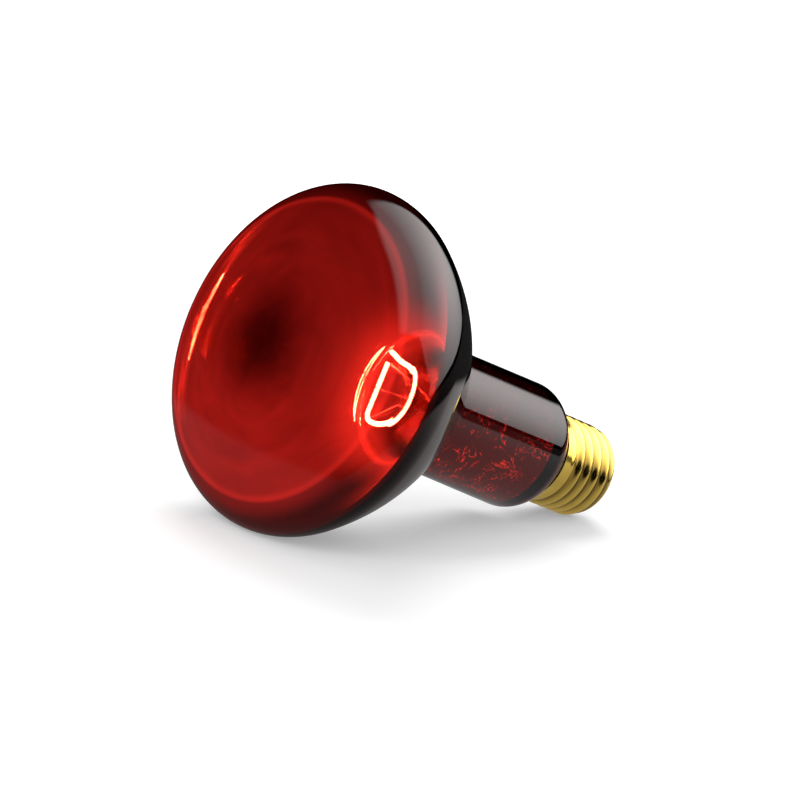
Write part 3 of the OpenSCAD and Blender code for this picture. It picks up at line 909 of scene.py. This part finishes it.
class HEATBULB_OT_stem(bpy.types.Operator):
    """Finishes the stem glass, the heat shield, the leads and the supports"""

    bl_idname = "heatbulb.stem"
    bl_label = "Stem And Wires"

    def execute(self, context):
        clear = clear_glass("stem_glass", (0.92, 0.95, 0.93))
        finish_nodes(
            clear, "clear_glass",
            "stem_flare", "stem_press", "exhaust_tube", "stem_rod", "rod_button",
        )
        sleeve = clear_glass("sleeve_glass", (0.84, 0.88, 0.84), base=0.12)
        finish_nodes(sleeve, "fuse_glass", "lead_fuse")
        shield = metal(
            "shield_sheet", (0.8, 0.8, 0.82), (0.6, 0.6, 0.6), grain=1200.0, base=0.22
        )
        finish_nodes(shield, "shield_aluminium", "heat_shield")
        nickel = metal("nickel_wire", (0.62, 0.6, 0.56), (0.42, 0.4, 0.36), grain=2500.0, base=0.25)
        finish_nodes(nickel, "nickel", "shield_collar", "inner_lead_a", "inner_lead_b")
        copper = metal(
            "clad_wire", (0.72, 0.42, 0.28), (0.45, 0.24, 0.15), grain=2500.0, base=0.25
        )
        finish_nodes(
            copper, "copper_wire", "seal_wires", "outer_lead_centre", "outer_lead_side"
        )
        grey = metal(
            "support_wire", (0.36, 0.36, 0.38), (0.24, 0.24, 0.25), grain=3000.0, base=0.35
        )
        finish_nodes(grey, "molybdenum", "filament_supports")
        return {"FINISHED"}


def aimed(azimuth, elevation):
    """Unit vector towards an azimuth and elevation in degrees."""
    a, e = math.radians(azimuth), math.radians(elevation)
    return Vector((math.sin(a) * math.cos(e), -math.cos(a) * math.cos(e), math.sin(e)))


def opening(shader, azimuth, height, middle, half_sizes, power, soft):
    """1 inside a rounded opening of the tent, 0 outside. Angles are in degrees."""
    off = shader.math("SUBTRACT", azimuth, math.radians(middle[0]))
    off = shader.math("WRAP", off, math.pi, -math.pi)
    across = shader.math("DIVIDE", shader.math("ABSOLUTE", off), math.radians(half_sizes[0]))
    up = shader.math("SUBTRACT", height, math.radians(middle[1]))
    up = shader.math("DIVIDE", shader.math("ABSOLUTE", up), math.radians(half_sizes[1]))
    size = shader.math("ADD", shader.math("POWER", across, power), shader.math("POWER", up, power))
    return shader.spread(size, 1 + soft, 1 - soft)


def softbox(shader, aim, azimuth, elevation, strength, tightness):
    """Light of one softbox on the tent's cloth, brightest towards its own direction."""
    towards = shader.node(
        "ShaderNodeVectorMath", {0: aim, 1: aimed(azimuth, elevation)}, operation="DOT_PRODUCT"
    ).outputs["Value"]
    off = shader.math("SUBTRACT", towards, 1.0)
    fall = shader.math("EXPONENT", shader.math("MULTIPLY", off, tightness))
    return shader.math("MULTIPLY", fall, strength)


def studio_world():
    """White for the eye and for reflections, and dimmer as light on the floor."""
    light_level = 0.45
    world = bpy.data.worlds.new("studio")
    bpy.context.scene.world = world
    world.use_nodes = True
    shader = Shader(world.node_tree)
    paths = shader.node("ShaderNodeLightPath").outputs
    seen = shader.math("MAXIMUM", paths["Is Camera Ray"], paths["Is Glossy Ray"])
    seen = shader.math("MAXIMUM", seen, paths["Is Transmission Ray"])
    background = world.node_tree.nodes["Background"]
    background.inputs["Color"].default_value = (1, 1, 1, 1)
    strength = shader.spread(seen, 0.0, 1.0, light_level, 1.0, "LINEAR")
    world.node_tree.links.new(strength, background.inputs["Strength"])


def sheet_object(name, bm, smooth=False):
    """Ends a bmesh as an object with a new material of its own name that can shine white."""
    mesh = bpy.data.meshes.new(name)
    bm.to_mesh(mesh)
    bm.free()
    if smooth:
        mesh.shade_smooth()
    made, shader, surface = material(name)
    mesh.materials.append(made)
    surface.inputs["Emission Color"].default_value = (1, 1, 1, 1)
    sheet = bpy.data.objects.new(name, mesh)
    bpy.context.scene.collection.objects.link(sheet)
    return sheet, shader, surface


def studio_floor(settings):
    """A white sheet that keeps the shadow, and shows a painted tone in reflections."""
    half_size = 8.0
    bm = bmesh.new()
    bmesh.ops.create_grid(bm, x_segments=1, y_segments=1, size=half_size)
    floor, shader, surface = sheet_object("floor", bm)
    where = shader.node("ShaderNodeTexCoord").outputs["Object"]
    paths = shader.node("ShaderNodeLightPath").outputs
    grain = shader.noise(where, 900.0)
    tone = settings.floor_tone
    shade = shader.mix(grain, rgba([tone] * 3), rgba([tone * 1.02] * 3))
    surface.inputs["Roughness"].default_value = 0.9
    surface.inputs["Specular IOR Level"].default_value = 0.1
    # In reflections the sheet shows a painted tone, not its lit colour: bright beside the neck,
    # painted shade on the face's side, and painted darkness not far from the bulb
    mirror_end, mirror_full = 0.24, 0.18
    face_side, cap_side, face_level, cap_level = -0.06, 0.12, 0.12, 0.55
    # To the eye it shines a little near the bulb, and is plain white further off
    eye_near, eye_far, eye_level = 0.3, 1.0, 0.3
    parts = shader.node("ShaderNodeSeparateXYZ", {0: where}).outputs
    reach = length_of(shader, where)
    near = shader.spread(reach, mirror_end, mirror_full)
    side = shader.spread(parts[0], face_side, cap_side, face_level, cap_level)
    mirrored = shader.math("MAXIMUM", paths["Is Glossy Ray"], paths["Is Transmission Ray"])
    shade = shader.mix(mirrored, shade, (0, 0, 0, 1))
    shader.tree.links.new(shade, surface.inputs["Base Color"])
    white = shader.spread(reach, eye_near, eye_far, eye_level, 1.0)
    camera = shader.math("MULTIPLY", paths["Is Camera Ray"], white)
    lit = shader.math("MULTIPLY_ADD", mirrored, shader.math("MULTIPLY", near, side), camera)
    shader.tree.links.new(lit, surface.inputs["Emission Strength"])


def studio_tent(settings):
    """A white tent that only reflections show, with dark openings and a dark skirt."""
    radius = 3.0
    bm = bmesh.new()
    bmesh.ops.create_uvsphere(bm, u_segments=96, v_segments=48, radius=radius)
    tent, shader, surface = sheet_object("tent", bm, smooth=True)
    surface.inputs["Base Color"].default_value = (0, 0, 0, 1)
    surface.inputs["Specular IOR Level"].default_value = 0.0
    where = shader.node("ShaderNodeTexCoord").outputs["Object"]
    aim = shader.node("ShaderNodeVectorMath", {0: where}, operation="NORMALIZE").outputs[0]
    parts = shader.node("ShaderNodeSeparateXYZ", {0: aim}).outputs
    azimuth = shader.math("ARCTAN2", parts[0], shader.math("MULTIPLY", parts[1], -1.0))
    height = shader.math("ARCSINE", parts[2])
    skirt_top, skirt_full = 4, 3
    dark = shader.spread(height, math.radians(skirt_top), math.radians(skirt_full))
    # Middle and half size in degrees of azimuth and height, roundness, softness
    for middle, half_sizes, power, soft in (
        ((-138, 0), (50, 46), 2.5, 0.04),
        ((-75, 0), (80, 36), 1.6, 0.04),
        ((165, 8), (66, 47), 2.0, 0.12),
    ):
        hole = opening(shader, azimuth, height, middle, half_sizes, power, soft)
        dark = shader.math("MAXIMUM", dark, hole)
    right = softbox(shader, aim, 58, 48, strength=6.1, tightness=2.9)
    left = softbox(shader, aim, -98, 72, strength=2.8, tightness=3.6)
    offset, least = -0.8, 0.3
    cloth = shader.math("ADD", shader.math("ADD", right, left), offset)
    cloth = shader.math("MULTIPLY", shader.math("MAXIMUM", cloth, least), settings.tent)
    lit = shader.math("MULTIPLY", cloth, shader.math("SUBTRACT", 1.0, dark))
    shader.tree.links.new(lit, surface.inputs["Emission Strength"])
    for kind in ("camera", "diffuse", "shadow", "volume_scatter"):
        setattr(tent, "visible_" + kind, False)


def studio_light(name, azimuth, elevation, distance, size, power):
    """A round lamp aimed at the bulb. It lights matt surfaces and casts the shadow."""
    lamp = bpy.data.lights.new(name, "AREA")
    lamp.shape = "DISK"
    lamp.size = size
    lamp.energy = power
    light = bpy.data.objects.new(name, lamp)
    bpy.context.scene.collection.objects.link(light)
    out = aimed(azimuth, elevation)
    light.location = out * distance
    light.rotation_euler = out.to_track_quat("Z", "Y").to_euler()
    for kind in ("camera", "glossy", "transmission"):
        setattr(light, "visible_" + kind, False)


class HEATBULB_OT_studio(bpy.types.Operator):
    """Sets the floor, the white tent, the lamps and the camera"""

    bl_idname = "heatbulb.studio"
    bl_label = "Studio"

    def execute(self, context):
        studio = context.scene.heat_bulb.studio
        context.scene.view_settings.view_transform = "Standard"
        context.scene.cycles.sample_clamp_indirect = 0.0
        context.scene.cycles.caustics_reflective = False
        context.scene.cycles.caustics_refractive = False
        studio_world()
        studio_floor(studio)
        studio_tent(studio)
        studio_light("front_light", -60, 27, distance=1.2, size=0.9, power=8.5)
        studio_light("back_light", 142, 44, distance=1.2, size=0.75, power=10.5)
        back = aimed(math.degrees(studio.azimuth), math.degrees(studio.elevation))
        level = Vector((0, 0, 1)).cross(back).normalized()
        upright = back.cross(level)
        right = math.cos(studio.roll) * level + math.sin(studio.roll) * upright
        up = back.cross(right)
        aim = Vector(CAMERA_AIM) * MM
        place = Matrix((right, up, back)).transposed().to_4x4()
        place.translation = aim + back * studio.distance
        lens = bpy.data.cameras.new("camera")
        lens.lens = studio.focal
        lens.sensor_width = SENSOR_WIDTH
        lens.clip_end = 50
        camera = bpy.data.objects.new("camera", lens)
        context.scene.collection.objects.link(camera)
        camera.matrix_world = place
        context.scene.camera = camera
        return {"FINISHED"}


OPERATORS = (
    HEATBULB_OT_studio,
    HEATBULB_OT_glass,
    HEATBULB_OT_mirror,
    HEATBULB_OT_filament,
    HEATBULB_OT_stem,
    HEATBULB_OT_screw_shell,
    HEATBULB_OT_cap_fittings,
)


class BulbSettings(bpy.types.PropertyGroup):
    glass: bpy.props.PointerProperty(type=GlassSettings)
    mirror: bpy.props.PointerProperty(type=MirrorSettings)
    filament: bpy.props.PointerProperty(type=FilamentSettings)
    cap: bpy.props.PointerProperty(type=CapSettings)
    studio: bpy.props.PointerProperty(type=StudioSettings)


class HEATBULB_PT_panel(bpy.types.Panel):
    """Lists the bulb's sizes, colours and making steps"""

    bl_idname = "HEATBULB_PT_panel"
    bl_label = "Heat Bulb"
    bl_space_type = "VIEW_3D"
    bl_region_type = "UI"
    bl_category = "Heat Bulb"

    def draw(self, context):
        settings = context.scene.heat_bulb
        for part in ("glass", "mirror", "filament", "cap", "studio"):
            box = self.layout.box()
            box.label(text=part.title())
            values = getattr(settings, part)
            for name in values.__annotations__:
                box.prop(values, name)
        for made in OPERATORS:
            self.layout.operator(made.bl_idname)


CLASSES = (
    GlassSettings, MirrorSettings, FilamentSettings, CapSettings, StudioSettings,
    BulbSettings, *OPERATORS, HEATBULB_PT_panel,
)


def register():
    for made in CLASSES:
        bpy.utils.register_class(made)
    bpy.types.Scene.heat_bulb = bpy.props.PointerProperty(type=BulbSettings)


def unregister():
    del bpy.types.Scene.heat_bulb
    for made in reversed(CLASSES):
        bpy.utils.unregister_class(made)


def main():
    register()
    for made in OPERATORS:
        name = made.bl_idname.split(".")[1]
        getattr(bpy.ops.heatbulb, name)()
    bpy.context.view_layer.update()


if __name__ == "__main__":
    main()
